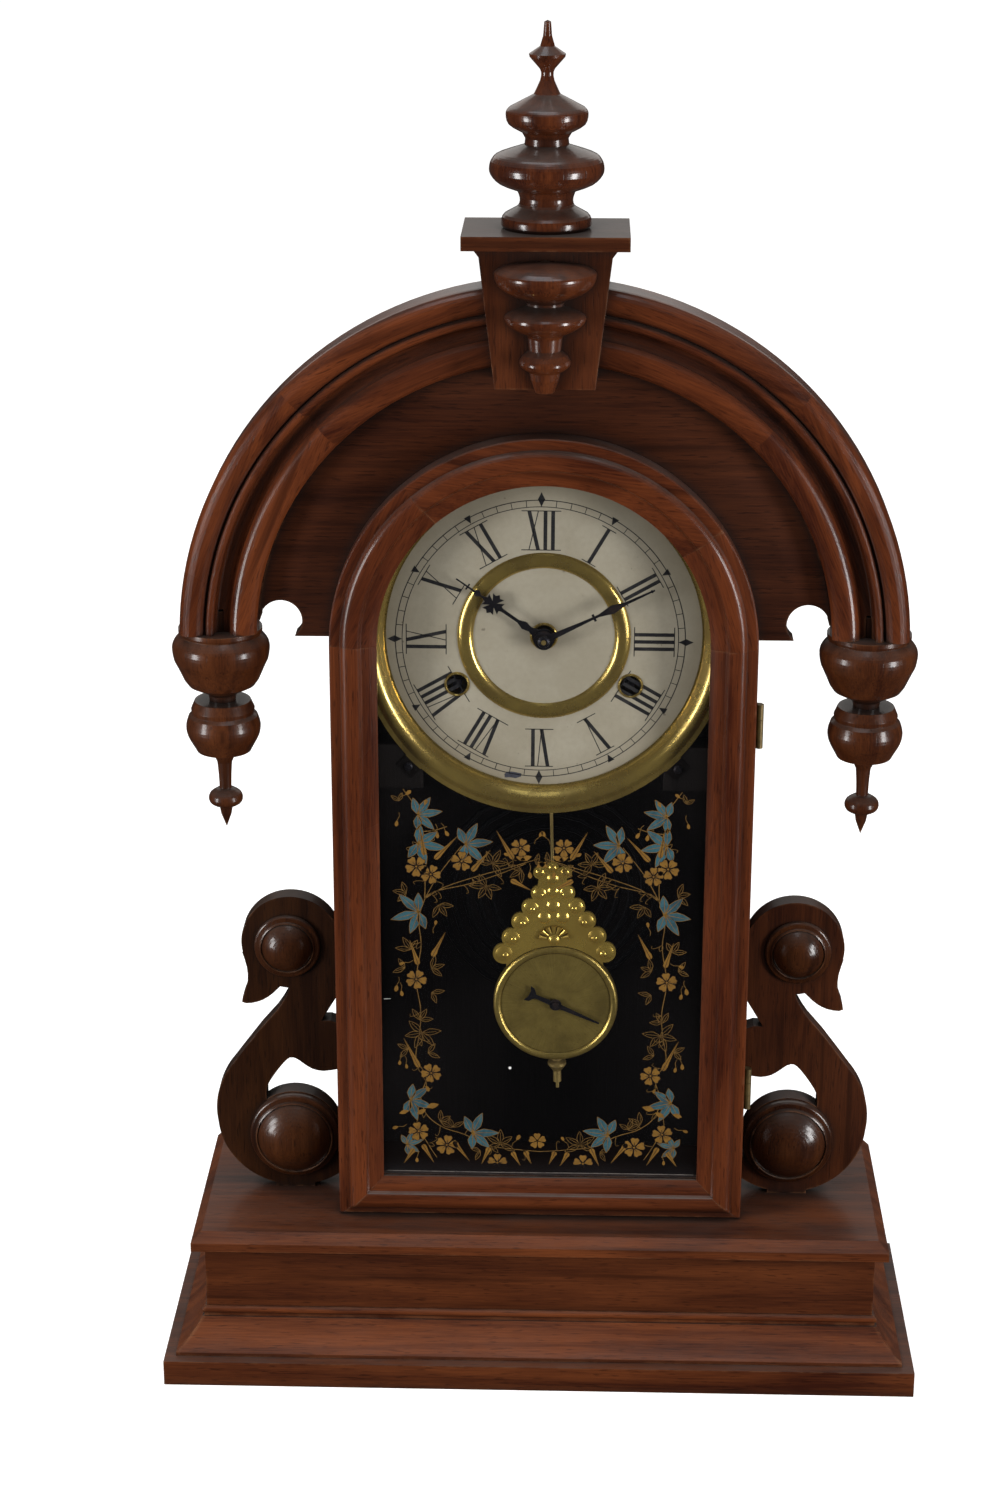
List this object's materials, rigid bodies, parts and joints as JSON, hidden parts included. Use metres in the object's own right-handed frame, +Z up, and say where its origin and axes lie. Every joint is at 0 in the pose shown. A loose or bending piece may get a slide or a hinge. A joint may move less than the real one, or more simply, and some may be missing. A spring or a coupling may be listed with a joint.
{
  "type": "shelf clock",
  "caption": "arched walnut shelf clock with a glazed hinged door, swan scroll brackets, round dial, pendulum, coiled gong and geared time and strike movement",
  "frame": {"origin": "under the middle of the base, on the surface that the clock stands on", "axes": "+Z up, the dial faces -Y, +X to the right of someone who faces the dial"},
  "size_m": [0.376, 0.13, 0.6665],
  "materials": {
    "walnut": "shellac",
    "dark_walnut": "shellac",
    "inside_wood": "bare",
    "brass": "polished",
    "steel": "blued",
    "spring_steel": "brushed",
    "iron": "painted",
    "glass": "clear",
    "paper": "matte"
  },
  "bodies": {
    "case": {"plinth_board": "walnut", "plinth_moulding": "walnut", "plinth_frieze": "dark_walnut", "plinth_top": "walnut", "case_sides": "dark_walnut", "case_top": "dark_walnut", "case_back": "inside_wood", "case_blocks": "inside_wood", "head_panel": "dark_walnut", "arch_moulding": "walnut", "arch_pendants": "walnut", "keystone": "walnut", "keystone_cap": "walnut", "keystone_drop": "walnut", "top_finial": "walnut", "swan_bracket_left": "dark_walnut", "swan_bracket_right": "dark_walnut", "bracket_bosses": "walnut", "case_hinge_leaves": "brass", "dial_rim": "brass", "dial_plate": "paper", "dial_centre_ring": "brass", "dial_grommets": "brass", "wood_screws": "steel", "movement_plates": "brass", "plate_pillars": "brass", "mainsprings": "spring_steel", "gong_coil": "spring_steel", "gong_block": "iron"},
    "door": {"door_stiles": "walnut", "door_bottom_rail": "walnut", "door_arch": "walnut", "door_glass": "glass", "glass_beads": "dark_walnut", "door_hinge_leaves": "brass", "door_catch": "brass"},
    "minute_arbor": {"centre_wheel": "brass", "minute_hand": "steel", "hand_nut": "brass"},
    "hour_pipe": {"hour_wheel": "brass", "hour_hand": "steel"},
    "motion_wheel": {"minute_wheel": "brass"},
    "time_great": {"time_great_wheel": "brass"},
    "time_winder": {"time_winding_arbor": "steel"},
    "time_second": {"time_second_wheel": "brass"},
    "time_fourth": {"fourth_wheel": "brass"},
    "escape": {"escape_wheel": "brass"},
    "verge": {"verge_and_crutch": "steel"},
    "pendulum": {"suspension_spring": "spring_steel", "pendulum_rod": "brass", "pendulum_bob": "brass", "bob_pediment": "brass"},
    "pointer": {"bob_pointer": "steel"},
    "rating": {"rating_nut": "brass"},
    "strike_great": {"strike_great_wheel": "brass"},
    "strike_winder": {"strike_winding_arbor": "steel"},
    "strike_second": {"strike_second_wheel": "brass"},
    "strike_third": {"strike_third_wheel": "brass"},
    "fly": {"strike_fly": "brass"},
    "striker": {"hammer": "steel"}
  },
  "joints": [
    {"name": "door_hinge", "type": "hinge", "parent": "case", "child": "door", "pos_m": [0.1032, -0.0165, 0.242], "axis": [0, 0, 1], "range_deg": [0, 100]},
    {"name": "minute_turn", "type": "hinge", "parent": "case", "child": "minute_arbor", "pos_m": [0, 0.005, 0.379], "axis": [0, 1, 0], "continuous": true},
    {"name": "hour_turn", "type": "hinge", "parent": "case", "child": "hour_pipe", "pos_m": [0, 0.005, 0.379], "axis": [0, 1, 0], "continuous": true},
    {"name": "motion_turn", "type": "hinge", "parent": "case", "child": "motion_wheel", "pos_m": [-0.00848, 0.005, 0.37051], "axis": [0, 1, 0], "continuous": true},
    {"name": "time_great_turn", "type": "hinge", "parent": "case", "child": "time_great", "pos_m": [0.0415, 0.005, 0.3545], "axis": [0, 1, 0], "continuous": true},
    {"name": "time_wind", "type": "hinge", "parent": "time_great", "child": "time_winder", "pos_m": [0.0415, 0.005, 0.3545], "axis": [0, 1, 0], "continuous": true},
    {"name": "time_second_turn", "type": "hinge", "parent": "case", "child": "time_second", "pos_m": [0.0058, 0.005, 0.35493], "axis": [0, 1, 0], "continuous": true},
    {"name": "time_fourth_turn", "type": "hinge", "parent": "case", "child": "time_fourth", "pos_m": [0.0134, 0.005, 0.3989], "axis": [0, 1, 0], "continuous": true},
    {"name": "escape_turn", "type": "hinge", "parent": "case", "child": "escape", "pos_m": [0, 0.005, 0.41355], "axis": [0, 1, 0], "continuous": true},
    {"name": "pendulum_swing", "type": "hinge", "parent": "case", "child": "pendulum", "pos_m": [0, 0.005, 0.434], "axis": [0, 1, 0], "range_deg": [-1.9, 5.1]},
    {"name": "verge_swing", "type": "hinge", "parent": "case", "child": "verge", "pos_m": [0, 0.005, 0.434], "axis": [0, 1, 0], "range_deg": [-1.9, 5.1]},
    {"name": "pointer_turn", "type": "hinge", "parent": "pendulum", "child": "pointer", "pos_m": [0.00692, 0.005, 0.1861], "axis": [0, 1, 0], "range_deg": [-60, 60]},
    {"name": "rating_turn", "type": "hinge", "parent": "pendulum", "child": "rating", "pos_m": [0.00804, -0.0022, 0.14611], "axis": [0.0279, 0, -0.9996], "continuous": true},
    {"name": "strike_great_turn", "type": "hinge", "parent": "case", "child": "strike_great", "pos_m": [-0.0415, 0.005, 0.3545], "axis": [0, 1, 0], "continuous": true},
    {"name": "strike_wind", "type": "hinge", "parent": "strike_great", "child": "strike_winder", "pos_m": [-0.0415, 0.005, 0.3545], "axis": [0, 1, 0], "continuous": true},
    {"name": "strike_second_turn", "type": "hinge", "parent": "case", "child": "strike_second", "pos_m": [-0.0241, 0.005, 0.38567], "axis": [0, 1, 0], "continuous": true},
    {"name": "strike_third_turn", "type": "hinge", "parent": "case", "child": "strike_third", "pos_m": [-0.02556, 0.005, 0.40241], "axis": [0, 1, 0], "continuous": true},
    {"name": "fly_turn", "type": "hinge", "parent": "case", "child": "fly", "pos_m": [-0.01856, 0.005, 0.41453], "axis": [0, 1, 0], "continuous": true},
    {"name": "hammer_swing", "type": "hinge", "parent": "case", "child": "striker", "pos_m": [-0.053, 0.005, 0.399], "axis": [0, 1, 0], "range_deg": [0, 10], "stiffness_Nm_per_rad": 0.05, "springref_deg": -5.73}
  ],
  "couplings": [
    {"joint": "hour_turn", "follows": "minute_turn", "ratio": 0.083333},
    {"joint": "motion_turn", "follows": "minute_turn", "ratio": -0.33333},
    {"joint": "time_second_turn", "follows": "minute_turn", "ratio": -0.375},
    {"joint": "time_great_turn", "follows": "minute_turn", "ratio": 0.0625},
    {"joint": "time_fourth_turn", "follows": "minute_turn", "ratio": -9},
    {"joint": "escape_turn", "follows": "minute_turn", "ratio": 90},
    {"joint": "verge_swing", "follows": "pendulum_swing", "ratio": 1},
    {"joint": "strike_second_turn", "follows": "strike_great_turn", "ratio": -6},
    {"joint": "strike_third_turn", "follows": "strike_great_turn", "ratio": 36},
    {"joint": "fly_turn", "follows": "strike_great_turn", "ratio": -216}
  ]
}
